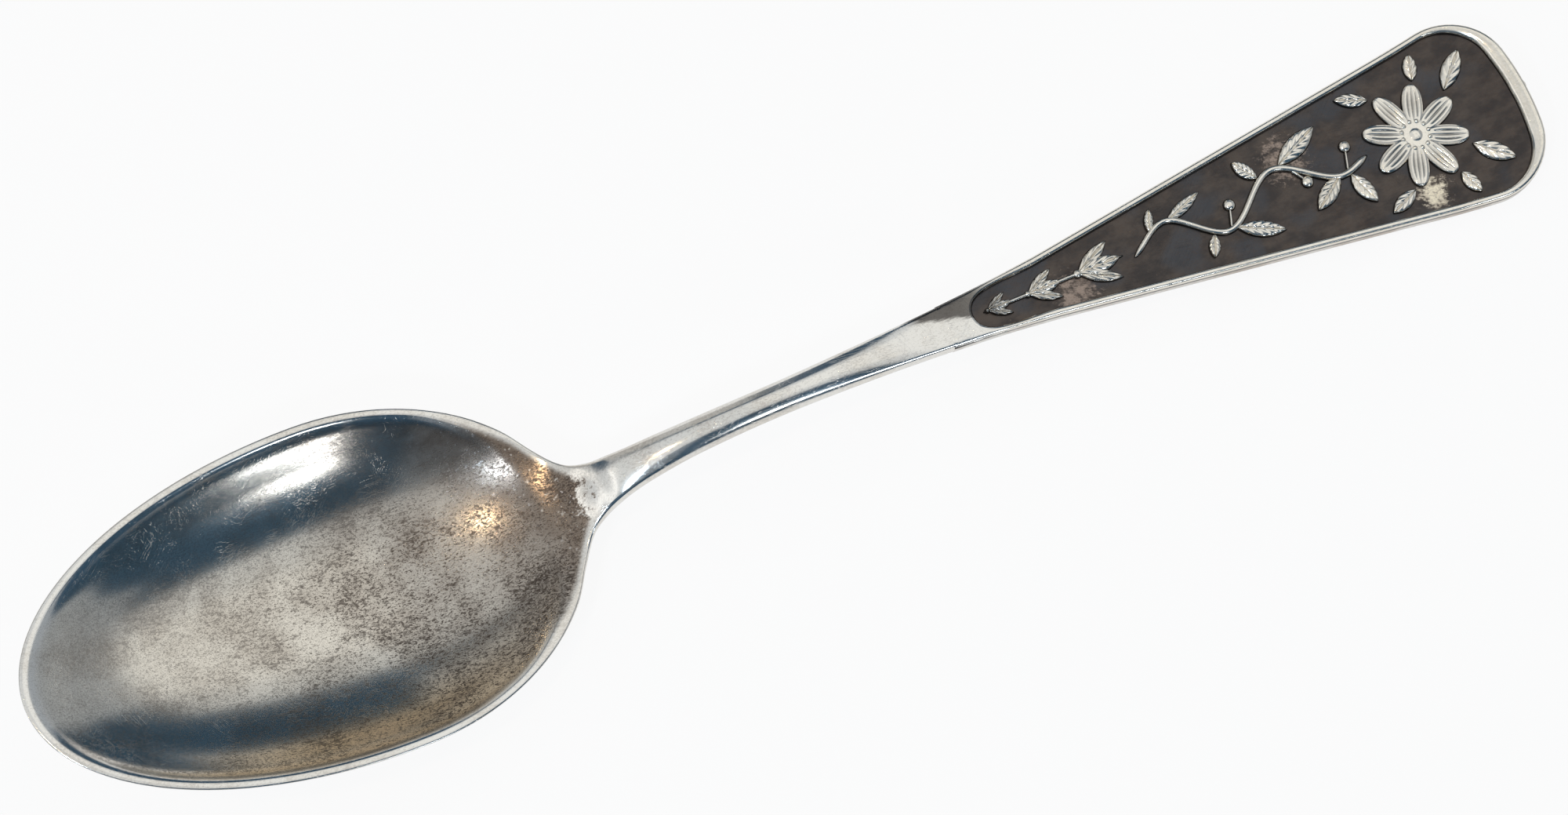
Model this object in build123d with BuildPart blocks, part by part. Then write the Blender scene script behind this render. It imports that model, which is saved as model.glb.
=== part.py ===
from build123d import *
import os
from math import atan, cos, radians, sin, sqrt, tan

# ---------------------------------------------------------------- souvenir teaspoon
# A die-struck sterling teaspoon, lying face up: +X runs from the bowl's tip to the handle's
# end, +Z is up, and the origin is under the middle of the length. The real spoon is struck
# from one strip of silver. It is divided here where one formed feature ends and the next
# begins, and the neighbours meet face to face.

# ---- driving dimensions, mm; a station is a distance from the bowl's tip
length = 150.0
rim_half_width = 15.8       # bowl, at its widest
rim_to_tip = 31.4           # from the widest station, along the rim
rim_to_heel = 21.0
rim_tilt = 12.4             # degrees, the tip higher than the heel
bowl_depth = 7.5            # rim down to the back of the bowl
bowl_wall = 0.95
rim_slope_share = 0.45      # centre of the ellipsoids above the rim, as a share of their depth
rim_chamfer = 0.28
stem_chamfer = 0.3

heel_station = 55.0         # where the bowl's heel ends and the stem begins
panel_station = 88.0        # where the stem ends and the panel begins
seat_station = 141.0        # where the handle touches the table
back_slope = 0.112          # fall of the flat back towards the end
curl_radius = 33.0          # upward curl of the end, at the back
end_radius = 28.0           # bulged end, in plan
corner_radius = 6.0
flare_station = 98.5        # from here the sides of the panel are straight
flare_half_width = 3.08
side_slope = 0.136
nose_station = 91.0         # narrow end of the sunk field

panel_thickness = 1.85      # back of the plate to the crown of the border
border_height = 0.6
border_width = 0.95
end_border_width = 1.5
bead_chamfer = 0.2
relief_height = 0.5
plate_thickness = panel_thickness - border_height

tilt = radians(rim_tilt)
widest_station = (rim_to_tip - rim_chamfer / 2) * cos(tilt)


def at(station):
    """X of a station."""
    return station - length / 2


# ---- the egg-shaped ellipsoids of the bowl: two halves that share the widest section
semi_depth = bowl_depth / (1 - rim_slope_share)
centre_rise = semi_depth * rim_slope_share
rim_share = sqrt(1 - rim_slope_share**2)
semi_width = rim_half_width / rim_share
semi_tip = rim_to_tip / rim_share
semi_heel = rim_to_heel / rim_share

# the back of the bowl touches Z = 0 on its heel half, so the tilt sets how high the rim is
lowest_reach = sqrt((semi_heel * sin(tilt)) ** 2 + (semi_depth * cos(tilt)) ** 2)
rim_z = lowest_reach - centre_rise * cos(tilt)
rim_plane = Plane(
    origin=(at(widest_station), 0, rim_z),
    x_dir=(cos(tilt), 0, -sin(tilt)),
    z_dir=(sin(tilt), 0, cos(tilt)),
)


def rim_height(station):
    """Z of the rim plane at a station."""
    return rim_z - (station - widest_station) * tan(tilt)


def egg(shrink):
    """The bowl's form, smaller all round by a wall."""
    width, depth = semi_width - shrink, semi_depth - shrink
    tip, heel = semi_tip - shrink, semi_heel - shrink
    with BuildPart() as form:
        with BuildSketch(Plane.XZ):
            with BuildLine():
                EllipticalCenterArc((0, 0), heel, width, start_angle=0, arc_size=90)
                EllipticalCenterArc((0, 0), tip, width, start_angle=90, arc_size=90)
                Line((-tip, 0), (heel, 0))
            make_face()
        revolve(axis=Axis.X)
        scale(by=(1, 1, depth / width))
    return rim_plane * Pos(0, 0, centre_rise) * form.part


# ---- neck and stem: sections across the length
# station, half width, top, height of the crown, edge, depth of the belly
neck_sections = [
    (46.0, 9.60, 5.00, 0.05, 0.90, 1.05),
    (47.8, 8.00, 4.60, 0.05, 0.95, 1.20),
    (49.5, 5.80, 4.30, 0.05, 1.10, 1.20),
    (51.4, 3.58, 4.80, 0.15, 1.40, 1.15),
    (53.2, 2.56, 5.70, 0.30, 1.50, 0.95),
    (heel_station, 2.18, 7.00, 0.42, 1.45, 0.75),
]
stem_sections = [
    neck_sections[-1],
    (60.0, 1.73, 8.90, 0.58, 1.25, 0.68),
    (66.0, 1.56, 9.52, 0.64, 1.16, 0.60),
    (72.0, 1.55, 9.36, 0.62, 1.14, 0.54),
    (78.0, 1.71, 8.86, 0.54, 1.20, 0.44),
    (83.5, 1.92, 8.20, 0.36, 1.38, 0.28),
    (panel_station, 2.16, 7.60, 0.16, 1.66, 0.12),
]


def lofted(sections):
    """Solid through domed sections, each with chamfered sides and a rounded belly."""
    with BuildPart() as form:
        for station, half, top, crown, edge, belly in sections:
            shoulder, foot = top - crown, top - crown - edge
            side_top, side_foot = shoulder - stem_chamfer, foot + stem_chamfer
            inner = half - stem_chamfer
            with BuildSketch(Plane.YZ.offset(at(station))):
                with BuildLine():
                    ThreePointArc((-inner, shoulder), (0, top), (inner, shoulder))
                    Polyline((inner, shoulder), (half, side_top), (half, side_foot), (inner, foot))
                    ThreePointArc((inner, foot), (0, foot - belly), (-inner, foot))
                    Polyline((-inner, foot), (-half, side_foot), (-half, side_top), (-inner, shoulder))
                make_face()
        loft()
    return form.part


neck_form = lofted(neck_sections)

with BuildPart() as stem:
    add(lofted(stem_sections))

# ---- bowl: egg shell with a rounded rim, and the heel that grows out of it
rim_end = 49.4              # the neck rises from the rim plane from here
valley_end = (heel_station, 7.2)
valley_slope = 0.62
past_tip = -4.0
past_heel = heel_station + 4
clear = 30.0                # above every feature


def above(low_line, valley=None):
    """Everything over a line in side view, given by two stations, and over a rising valley."""
    start, end = [(at(station), rim_height(station)) for station in low_line]
    with BuildSketch(Plane.XZ) as side:
        with BuildLine():
            low = Line(start, end)
            top = low @ 1
            if valley:
                rise = Spline(end, (at(valley[0]), valley[1]), tangents=(low % 1, (1, valley_slope)))
                top = rise @ 1
            past = (at(past_heel), top.Y + (past_heel - heel_station) * valley_slope)
            Polyline(top, past, (past[0], clear), (start[0], clear), start)
        make_face()
    return extrude(side.sketch, amount=semi_width, both=True)


outer_egg = egg(0)
inner_egg = egg(bowl_wall)
over_rim = above((past_tip, past_heel))
over_heel = above((past_tip, rim_end), valley_end)

with BuildPart() as shell:
    add(outer_egg)
    add(over_rim, mode=Mode.SUBTRACT)
    add(inner_egg, mode=Mode.SUBTRACT)
    chamfer(shell.faces().filter_by(rim_plane).edges(), length=rim_chamfer)

with BuildPart() as hollow:
    add(outer_egg)
    add(over_rim, mode=Mode.SUBTRACT)
    add(shell.part, mode=Mode.SUBTRACT)

with BuildPart() as bowl:
    add(neck_form)
    add(over_heel, mode=Mode.SUBTRACT)
    split(bisect_by=Plane.YZ.offset(at(heel_station)), keep=Keep.BOTTOM)
    add(hollow.solids().sort_by(SortBy.VOLUME)[-1], mode=Mode.SUBTRACT)
    add(inner_egg, mode=Mode.SUBTRACT)
    add(shell.part)

# ---- panel: side profile in layers, with a flat back and a curled end
curl_angle = atan(back_slope)
curl_start = (seat_station - curl_radius * sin(curl_angle), curl_radius * (1 - cos(curl_angle)))
past_end = length + 1


def layer_line(rise):
    """Side view of a layer of the panel at a height above its back, from the end."""
    bend = (curl_start[0] + rise * sin(curl_angle), curl_start[1] + rise * cos(curl_angle))
    radius = curl_radius - rise
    end = (past_end, curl_radius - sqrt(radius**2 - (past_end - seat_station) ** 2))
    start = (panel_station, bend[1] + (bend[0] - panel_station) * back_slope)
    RadiusArc((at(end[0]), end[1]), (at(bend[0]), bend[1]), radius)
    Line((at(bend[0]), bend[1]), (at(start[0]), start[1]))
    return (at(end[0]), end[1]), (at(start[0]), start[1])


def layer(low, high):
    """Slab of the panel between two heights above its back."""
    with BuildSketch(Plane.XZ) as side:
        with BuildLine():
            low_end, low_start = layer_line(low)
            high_end, high_start = layer_line(high)
            Line(low_end, high_end)
            Line(low_start, high_start)
        make_face()
    return extrude(side.sketch, amount=end_radius, both=True)


def panel_plan(inset, end_inset):
    """Plan of the panel, or of the field inside its border."""
    side_inset = inset * sqrt(1 + side_slope**2)
    flare = flare_half_width - side_inset
    centre = length - end_radius
    radius = end_radius - end_inset
    # where the straight side meets the bulged end
    reach = flare + side_slope * (centre - flare_station)
    a, b, c = 1 + side_slope**2, side_slope * reach, reach**2 - radius**2
    corner = (-b + sqrt(b**2 - a * c)) / a
    corner_half = reach + side_slope * corner
    with BuildSketch() as plan:
        with BuildLine():
            if inset:
                nose = (at(nose_station), 0)
                Spline(nose, (at(flare_station), flare), tangents=((0, 1), (1, side_slope)))
            else:
                nose = (at(panel_station), 0)
                root = (at(panel_station), stem_sections[-1][1])
                Line(nose, root)
                Spline(root, (at(flare_station), flare), tangents=((1, 0.05), (1, side_slope)))
            Line((at(flare_station), flare), (at(centre + corner), corner_half))
            RadiusArc((at(centre + corner), corner_half), (at(centre + radius), 0), radius)
            Line((at(centre + radius), 0), nose)
        make_face()
        mirror(about=Plane.XZ)
        corners = plan.vertices().filter_by(lambda v: abs(abs(v.Y) - corner_half) < 0.01)
        fillet(corners, radius=corner_radius - end_inset)
    return plan.sketch


blank = extrude(panel_plan(0, 0), amount=clear)
field = extrude(panel_plan(border_width, end_border_width), amount=clear)
plate_layer = layer(0, plate_thickness)
border_layer = layer(plate_thickness, panel_thickness)
relief_layer = layer(plate_thickness, plate_thickness + relief_height)

with BuildPart() as panel:
    add(blank)
    add(plate_layer, mode=Mode.INTERSECT)

with BuildPart() as border:
    add(blank)
    add(field, mode=Mode.SUBTRACT)
    add(border_layer, mode=Mode.INTERSECT)
    crown = border.faces().filter_by(lambda face: face.normal_at().Z > 0.9)
    outline = crown.edges().filter_by(lambda edge: len([f for f in crown if edge in f.edges()]) == 1)
    chamfer(outline, length=bead_chamfer)

# ---- relief on the field: sketches in plan, cut to the layer above the plate


def leaf(root, tip, swell):
    """Pointed leaf between two points, each given as station and Y; sides are arcs."""
    start, end = Vector(at(root[0]), root[1]), Vector(at(tip[0]), tip[1])
    middle = (start + end) * 0.5
    across = (end - start).normalized().cross(Vector(0, 0, 1)) * swell
    with BuildLine() as edge:
        ThreePointArc(start, middle + across, end)
        ThreePointArc(end, middle - across, start)
    make_face(edge.edges())


def stalk(points, width):
    """Thin winding stem through points given as station and Y."""
    with BuildLine() as line:
        Spline(*[(at(station), y) for station, y in points])
    trace(line.line, line_width=width)


def berry(root, centre):
    """Round berry on a short stalk, both ends given as station and Y."""
    with BuildLine() as line:
        Line((at(root[0]), root[1]), (at(centre[0]), centre[1]))
    trace(line.line, line_width=0.35)
    with Locations((at(centre[0]), centre[1])):
        Circle(0.62)


petals = 8
blossom_station = 138.4
with BuildPart() as blossom:
    with BuildSketch():
        with Locations((at(blossom_station), 0)):
            Circle(1.9)
            with PolarLocations(3.1, petals, start_angle=180 / petals):
                Ellipse(2.2, 1.12)
    extrude(amount=clear)
    add(relief_layer, mode=Mode.INTERSECT)

with BuildPart() as leaf_spray:
    with BuildSketch():
        for side in (-1, 1):
            leaf((143.0, side * 2.9), (146.1, side * 6.0), 0.95)
            leaf((140.7, side * 5.0), (141.6, side * 7.6), 0.75)
            leaf((135.8, side * 4.9), (132.6, side * 6.2), 0.75)
    extrude(amount=clear)
    add(relief_layer, mode=Mode.INTERSECT)

vine_points = [(107.6, -0.6), (111.5, 1.5), (117.0, -1.7), (123.6, 2.2), (130.2, -0.9), (133.0, 0.0)]
vine_leaves = [
    ((111.8, 1.3), (116.2, 2.9), 0.62),
    ((109.9, 1.0), (110.9, 3.2), 0.5),
    ((117.9, -1.7), (122.3, -3.7), 0.85),
    ((115.6, -1.5), (114.6, -3.6), 0.6),
    ((124.4, 2.3), (129.6, 4.6), 1.0),
    ((122.0, 1.9), (120.4, 4.3), 0.75),
    ((129.6, -0.8), (126.0, -3.2), 0.9),
    ((130.6, -1.1), (131.8, -4.6), 0.9),
]
vine_berries = [((117.4, -1.7), (118.3, 0.6)), ((125.1, 1.9), (126.4, -0.2)), ((130.5, -0.9), (131.4, 1.6))]
with BuildPart() as vine:
    with BuildSketch():
        stalk(vine_points, 0.8)
        for root, tip, swell in vine_leaves:
            leaf(root, tip, swell)
        for root, centre in vine_berries:
            berry(root, centre)
    extrude(amount=clear)
    add(relief_layer, mode=Mode.INTERSECT)

with BuildPart() as bellflowers:
    with BuildSketch():
        for station, size in [(92.4, 0.62), (96.6, 0.85), (101.8, 1.1)]:
            leaf((station, 0), (station + 4.1 * size, 0), 0.75 * size)
            for side in (-1, 1):
                leaf((station, 0), (station + 3.6 * size, side * 1.75 * size), 0.6 * size)
        stalk([(92.0, 0), (99.0, 0.0), (106.6, 0.0)], 0.5)
    extrude(amount=clear)
    add(relief_layer, mode=Mode.INTERSECT)

pieces = {
    "bowl": bowl,
    "stem": stem,
    "panel": panel,
    "border": border,
    "blossom": blossom,
    "leaf_spray": leaf_spray,
    "vine": vine,
    "bellflowers": bellflowers,
}
os.makedirs("parts", exist_ok=True)
for name, piece in pieces.items():
    piece.part.label = name
    export_step(piece.part, f"parts/{name}.step")
    print(f"{name}: {len(piece.solids())} solid(s), {piece.part.volume:.0f} mm3")
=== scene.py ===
# %% [markdown]
# # A struck silver souvenir teaspoon
#
# The real spoon is one strip of sterling silver, struck between dies. Its bowl is tarnished,
# its stem is worn bright, and its handle has a sunk dark panel with bright relief inside a
# raised border. The scene keeps the measured CAD frame and puts finely shaped skins round it:
#
# 1. formulas give the height of the top and of the back at every place on the spoon,
# 2. one skin is built over those formulas and divided where the CAD pieces meet,
# 3. the relief is modelled leaf by leaf, and Geometry Nodes repeats what comes several times,
# 4. node materials give the tarnish, the wear and the scratches.

import math

import bmesh
import bpy
import numpy as np
from mathutils import Matrix, Vector


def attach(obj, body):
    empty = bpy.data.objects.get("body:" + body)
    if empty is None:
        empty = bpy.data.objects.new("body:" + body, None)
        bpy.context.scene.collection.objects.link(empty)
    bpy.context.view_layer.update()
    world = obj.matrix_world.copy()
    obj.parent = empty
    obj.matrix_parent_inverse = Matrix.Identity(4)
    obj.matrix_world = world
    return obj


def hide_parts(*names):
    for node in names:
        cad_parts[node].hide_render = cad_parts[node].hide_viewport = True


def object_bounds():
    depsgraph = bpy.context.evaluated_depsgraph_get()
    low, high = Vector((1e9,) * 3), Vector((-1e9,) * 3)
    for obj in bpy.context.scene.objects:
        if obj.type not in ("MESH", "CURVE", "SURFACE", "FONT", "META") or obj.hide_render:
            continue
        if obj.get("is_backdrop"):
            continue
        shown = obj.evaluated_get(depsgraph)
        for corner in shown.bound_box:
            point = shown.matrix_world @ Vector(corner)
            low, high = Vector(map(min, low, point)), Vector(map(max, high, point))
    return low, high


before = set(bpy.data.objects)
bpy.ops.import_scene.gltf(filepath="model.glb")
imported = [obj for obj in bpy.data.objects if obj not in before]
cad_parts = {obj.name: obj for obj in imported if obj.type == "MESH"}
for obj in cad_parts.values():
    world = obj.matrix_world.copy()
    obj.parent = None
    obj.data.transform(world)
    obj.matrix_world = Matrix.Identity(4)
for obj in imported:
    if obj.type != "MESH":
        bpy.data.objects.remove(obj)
cad_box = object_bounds()
MM = 0.001
tip_x = cad_box[0][0]
print("length", round((cad_box[1][0] - tip_x) / MM, 2), "mm")

# %% [markdown]
# ## Measures of the spoon
#
# A *station* is a distance from the bowl's tip, in millimetres. These are the same driving
# dimensions as the CAD's, apart from the two that wear the rim down. The skin follows from them
# and from the short tables of the next steps, so it meets the CAD's seams without any fitting.

# %% Driving dimensions, mm
length = 150.0
rim_half_width = 15.8
rim_to_tip = 31.4
rim_to_heel = 21.0
rim_ease = 0.1              # the worn rim is this much inside the die's outline
rim_tilt = math.radians(12.4)
bowl_depth = 7.5
bowl_wall = 0.95
rim_wall = 0.54             # the wall is worn thinner at the rim
slope_share = 0.45
heel_station = 55.0
panel_station = 88.0
neck_station = 46.0         # the outline leaves the egg here and narrows to the neck
lip_station = 49.0          # up to here the middle of the top lies in the plane of the rim
back_slope = 0.112
seat_station = 141.0
curl_radius = 33.0
end_radius = 28.0
corner_radius = 6.0
flare_station = 98.5
flare_half_width = 3.08
side_slope = 0.136
nose_station = 91.0
panel_thickness = 1.85
border_height = 0.6
plate_thickness = panel_thickness - border_height
border_width = 0.8
end_border_width = 1.5
rim_chamfer = 0.28          # the CAD's rim is chamfered; here it is rounded
widest_station = (rim_to_tip - rim_chamfer / 2) * math.cos(rim_tilt)

semi_depth = bowl_depth / (1 - slope_share)
centre_rise = semi_depth * slope_share
rim_share = math.sqrt(1 - slope_share**2)
lowest_reach = math.hypot(rim_to_heel / rim_share * math.sin(rim_tilt), semi_depth * math.cos(rim_tilt))
rim_z = lowest_reach - centre_rise * math.cos(rim_tilt)
print("rim height at the widest station", round(rim_z, 2), "mm")

# %% [markdown]
# ## Smooth curves through a few values
#
# A *Hermite* curve passes through each given value and takes its slope from the neighbours.
# It is the same idea as an F-curve with automatic handles. `blend_min` takes the lower of two
# heights and rounds the crease between them, as a worn die does.

# %% Helpers for heights


def curve_through(stations, values):
    """Function of the station that passes smoothly through the values."""
    stations, values = np.array(stations, float), np.array(values, float)
    slopes = np.gradient(values, stations)

    def height(station):
        station = np.clip(station, stations[0], stations[-1])
        i = np.clip(np.searchsorted(stations, station) - 1, 0, len(stations) - 2)
        step = stations[i + 1] - stations[i]
        t = (station - stations[i]) / step
        start = (1 + 2 * t) * (1 - t) ** 2 * values[i] + t * (1 - t) ** 2 * step * slopes[i]
        end = t**2 * (3 - 2 * t) * values[i + 1] + t**2 * (t - 1) * step * slopes[i + 1]
        return start + end

    return height


def blend_min(a, b, width):
    """The lower of two heights, with a rounded crease."""
    t = np.clip(0.5 + 0.5 * (b - a) / width, 0, 1)
    return b + (a - b) * t - width * t * (1 - t)


def ease(value, start, end):
    """0 at start, 1 at end, smooth between and level beyond; start may be the larger."""
    t = np.clip((value - start) / (end - start), 0, 1)
    return t * t * (3 - 2 * t)


# %% [markdown]
# ## Heights of the bowl
#
# The dish is an egg-shaped ellipsoid whose centre is above the rim, cut by the tilted plane of
# the rim. The wall is the gap between an outer and an inner ellipsoid. Solving the ellipsoid
# for the height over a place gives the dish as a *height field*, which can be sampled on any
# grid that suits the outline.

# %% Bowl formulas


def rim_plane(station):
    """Height of the plane of the rim."""
    return rim_z - (station - widest_station) * math.tan(rim_tilt)


def egg_height(station, y, shrink):
    """Lower surface of the egg-shaped ellipsoid, smaller all round by shrink."""
    cosine, sine = math.cos(rim_tilt), math.sin(rim_tilt)
    along = station - widest_station
    width = rim_half_width / rim_share - shrink
    depth = semi_depth - shrink
    heights = []
    for rim_length in (rim_to_tip, rim_to_heel):
        semi = rim_length / rim_share - shrink
        # a height h above the rim's centre is (along * cos - h * sin, along * sin + h * cos)
        a = (sine / semi) ** 2 + (cosine / depth) ** 2
        b = -along * cosine * sine / semi**2 + (along * sine - centre_rise) * cosine / depth**2
        c = (along * cosine / semi) ** 2 + (y / width) ** 2
        c = c + ((along * sine - centre_rise) / depth) ** 2 - 1
        heights.append((-b - np.sqrt(np.maximum(b * b - a * c, 0))) / a)
    tip_side = along * cosine - heights[0] * sine < 0
    return rim_z + np.where(tip_side, heights[0], heights[1])


def egg_half(station):
    """Half width of the egg-shaped rim, seen from above."""
    rim_length = np.where(station < widest_station, rim_to_tip, rim_to_heel) - rim_ease
    along = (station - widest_station) / (rim_length * math.cos(rim_tilt))
    return (rim_half_width - rim_ease) * np.sqrt(np.maximum(1 - along**2, 0))


# %% [markdown]
# ## Heights of the neck, the stem and the handle
#
# Along the middle the top line rises out of the bowl, runs over the stem and falls to the
# curled end. Each cross-section is a dome over upright sides over a rounded belly.

# %% Top line and sections
top_line = curve_through(
    [46.0, 47.5, 49.0, 50.2, 51.4, 53.2, 55.0, 57.5, 60.0, 66.0, 72.0, 78.0, 83.5, 88.0, 90.0],
    [
        rim_plane(46.0), rim_plane(47.5), rim_plane(49.0), 4.12, 4.62,
        5.68, 6.98, 8.15, 8.9, 9.52, 9.36, 8.86, 8.2, 7.6, 7.376,
    ],
)
crown_height = curve_through(
    [46, 50, 52, 55, 60, 66, 72, 78, 83.5, 88, 92],
    [0, 0.04, 0.22, 0.5, 0.76, 0.86, 0.84, 0.72, 0.44, 0.17, 0.0],
)
edge_height = curve_through(
    [42, 46, 48, 50, 53, 55, 60, 66, 72, 78, 83.5, 88],
    [0.33, 0.36, 0.7, 1.25, 1.5, 1.37, 1.07, 0.94, 0.92, 1.02, 1.3, 1.6],
)
belly_depth = curve_through(
    [42, 46, 50, 53, 55, 60, 66, 72, 78, 83.5, 88],
    [0.6, 1.0, 1.2, 0.95, 0.75, 0.68, 0.6, 0.54, 0.44, 0.28, 0.12],
)
neck_half = curve_through(
    [44.0, 46.0, 47.8, 49.5, 51.4, 53.2, 55.0, 60.0, 66.0, 72.0, 78.0, 83.5, 88.0, 93.0, 98.5],
    [
        egg_half(44.0), egg_half(46.0), 8.40, 5.92, 3.55,
        2.58, 2.18, 1.73, 1.56, 1.55, 1.71, 1.92, 2.16, 2.49, flare_half_width,
    ],
)


def outline_half(station):
    """Half width of the bowl, neck and stem at a station."""
    return np.where(station < neck_station, egg_half(station), neck_half(station))


def middle_height(station):
    """Height of the middle of the top: the plane of the rim, then the top line."""
    return np.where(station < lip_station, rim_plane(station), top_line(station))


# %% Heights of the back and of the top
dish_end = 54.0             # beyond it the top has no trace of the dish
shell_end = 53.5            # beyond it the back has no trace of the bowl's shell
worn_depth = 2.0            # the wall is worn down to this depth below the rim
shell_crease = 1.2
belly_slope = 1.2           # before the neck the belly rises out of the way at this slope
curl_angle = math.atan(back_slope)
bend_station = seat_station - curl_radius * math.sin(curl_angle)
bend_height = curl_radius * (1 - math.cos(curl_angle))


def back_height(station, rise=0.0):
    """Height of the panel's back, or of a layer at a distance above it."""
    flat = bend_height + rise / math.cos(curl_angle) + (bend_station - station) * back_slope
    drop = np.maximum((curl_radius - rise) ** 2 - (station - seat_station) ** 2, 1.0)
    curl = curl_radius - np.sqrt(drop)
    return np.where(station < bend_station + rise * math.sin(curl_angle), flat, curl)


def top_height(station, y):
    """Height of the top of the bowl, neck and stem."""
    half = outline_half(station)
    middle = middle_height(station)
    crown = crown_height(station) * np.clip(y / half, -1, 1) ** 2 * ease(station, 47, 51)
    dish = egg_height(station, y, bowl_wall)
    worn = ease(rim_plane(station) - dish, worn_depth, 0.0) * ease(station, neck_station, 40)
    dish = dish - (bowl_wall - rim_wall) * worn
    crease = 0.5 + 1.6 * ease(station, 44.5, 49.5)
    blended = blend_min(dish, middle - crown, crease)
    return np.where(station > dish_end, middle - crown, blended)


def under_height(station, y):
    """Height of the underside of the bowl, neck and stem."""
    half = outline_half(station)
    foot = middle_height(station) - crown_height(station) - edge_height(station)
    belly = foot - belly_depth(station) * (1 - np.clip(y / half, -1, 1) ** 2)
    belly = np.where(station < neck_station, belly + (neck_station - station) * belly_slope, belly)
    shell = egg_height(station, y, 0.0)
    return np.where(station > shell_end, belly, blend_min(shell, belly, shell_crease))


for station in (30.0, 45.0, 50.0, 55.0, 70.0):
    top, under = float(top_height(station, 0.0)), float(under_height(station, 0.0))
    print("station", station, "top", round(top, 2), "back", round(under, 2))

# %% [markdown]
# ## The skin
#
# Every *line* of the skin starts on the spoon's middle, runs out over the top to the outline,
# rounds the edge and comes back along the underside. On the neck and stem the lines run
# straight across. Round the bowl's tip and the handle's end they fan out from one point, so
# the edge is always crossed squarely and reflections stay even.

# %% Lines of the skin
spokes = np.linspace(0, 1, 22)[:-1]         # shares of the way from the middle to the first band
bands = np.array([3.2, 2.5, 2.0, 1.65, 1.4, 1.22, 1.06, 0.9, 0.74, 0.58])   # mm from the edge
over_steps = 5              # steps from the top round to the middle of the edge
under_steps = 4             # and from there to the underside


def arc_of(start, corner, end, steps):
    """Points of a quadratic Bezier curve, without its first one."""
    t = np.linspace(0, 1, steps + 1)[1:, None]
    return (1 - t) ** 2 * start + 2 * t * (1 - t) * corner + t**2 * end


def skin_line(centre, edge, inward, top, under, corner_top, corner_under, round_top, round_under, squeeze):
    """One line of the skin, from the middle of the top round the edge to the middle of the back."""
    centre, edge, inward = np.array(centre, float), np.array(edge, float), np.array(inward, float)
    inner = edge + inward * (round_top + (bands[0] - round_top) * squeeze)
    plan = [centre + (inner - centre) * r for r in spokes]
    plan += [edge + inward * (round_top + (band - round_top) * squeeze) for band in bands]
    start, end = edge + inward * round_top, edge + inward * round_under
    plan = np.array(plan + [start])
    over = np.column_stack([plan, top(plan[:, 0], plan[:, 1])])
    back_plan = np.vstack([end, plan[-2::-1]])
    back = np.column_stack([back_plan, under(back_plan[:, 0], back_plan[:, 1])])
    high, low = np.array([*edge, corner_top]), np.array([*edge, corner_under])
    middle = (high + low) / 2
    over_edge = arc_of(over[-1], high, middle, over_steps)
    under_edge = arc_of(middle, low, back[0], under_steps)[:-1]
    return np.vstack([over, over_edge, under_edge, back])


# %% Lines into meshes
weld_distance = 1e-7


def grid_mesh(lines, name, closed=False, origin=(tip_x, 0, 0)):
    """Mesh object from lines of points in station, y and height, all in millimetres."""
    lines = np.array(lines)
    count, width = lines.shape[:2]
    vertices = lines.reshape(-1, 3) * MM + np.array(origin)
    rows = range(count if closed else count - 1)
    faces = [
        (i * width + j, i * width + j + 1, (i + 1) % count * width + j + 1, (i + 1) % count * width + j)
        for i in rows
        for j in range(width - 1)
    ]
    mesh = bpy.data.meshes.new(name)
    mesh.from_pydata(vertices.tolist(), [], faces)
    piece = bpy.data.objects.new(name, mesh)
    bpy.context.collection.objects.link(piece)
    return piece


def finish_mesh(piece, sharp_angle=50):
    """Weld the lines, close open ends, point every face outwards and shade smoothly."""
    mesh = piece.data
    work = bmesh.new()
    work.from_mesh(mesh)
    bmesh.ops.remove_doubles(work, verts=work.verts, dist=weld_distance)
    bmesh.ops.holes_fill(work, edges=[edge for edge in work.edges if edge.is_boundary], sides=0)
    bmesh.ops.recalc_face_normals(work, faces=work.faces)
    if work.calc_volume(signed=True) < 0:
        bmesh.ops.reverse_faces(work, faces=work.faces)
    work.to_mesh(mesh)
    work.free()
    mesh.shade_smooth()
    mesh.set_sharp_from_angle(angle=math.radians(sharp_angle))


# %% Lines of the bowl and of the stem
edge_rounding = 0.42
rim_rounding_under = 0.38
rim_edge = 0.33             # height of the upright edge of the rim
full_width = 9.0            # where the half width is less, the bands are squeezed
probe = 0.05                # half the step over which the outline's slope is measured


def spoon_row(station, side):
    """Line across the bowl, neck or stem, on one side of the middle."""
    half = float(outline_half(station))
    slope = float(outline_half(station + probe) - outline_half(station - probe)) / (2 * probe)
    lean = math.sqrt(1 + slope**2)
    high = float(middle_height(station)) - float(crown_height(station) * ease(station, 47, 51))
    squeeze = min(1, half / full_width)
    rounding = min(edge_rounding, 0.3 * half)
    return skin_line(
        (station, 0),
        (station, side * half),
        (0, -side * min(lean, 0.8 * half / bands[0] / squeeze)),
        top_height,
        under_height,
        high,
        high - float(edge_height(station)),
        rounding,
        rounding * 0.9,
        squeeze,
    )


def tip_ray(angle):
    """Line from the widest station's middle to the rim round the bowl's tip."""
    reach_x = (rim_to_tip - rim_ease) * math.cos(rim_tilt)
    reach_y = rim_half_width - rim_ease
    edge = (widest_station - reach_x * math.cos(angle), reach_y * math.sin(angle))
    inward = Vector((math.cos(angle) / reach_x, -math.sin(angle) / reach_y)).normalized()
    high = float(rim_plane(edge[0]))
    return skin_line(
        (widest_station, 0),
        edge,
        inward,
        top_height,
        under_height,
        high,
        high - rim_edge,
        edge_rounding,
        rim_rounding_under,
        1.0,
    )


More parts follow.
